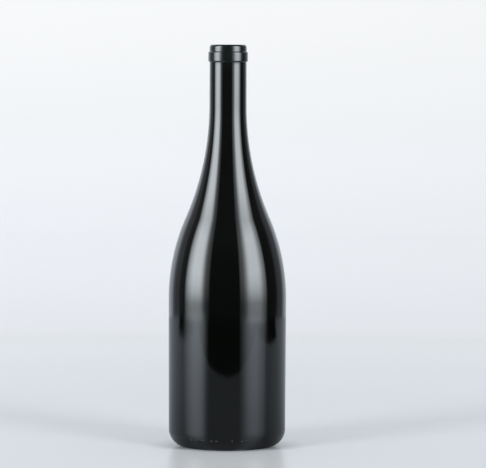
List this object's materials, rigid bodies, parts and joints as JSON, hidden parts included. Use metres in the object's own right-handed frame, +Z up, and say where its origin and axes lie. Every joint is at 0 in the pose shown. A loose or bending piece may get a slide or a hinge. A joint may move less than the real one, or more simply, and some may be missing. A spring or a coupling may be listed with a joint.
{
  "type": "wine bottle",
  "caption": "Empty wine bottle of dark glass with sloping shoulders, a long neck, a ringed open mouth and a domed hollow under the base.",
  "frame": {"origin": "centre of the flat ring that the bottle stands on", "axes": "+Z up along the bottle's axis, towards the mouth; every direction across it is alike"},
  "size_m": [0.0878, 0.0878, 0.3],
  "materials": {
    "dark_glass": "glossy blown glass, so dark a green that it reads as black"
  },
  "bodies": {
    "root": {"bottle": "dark_glass"}
  },
  "joints": []
}
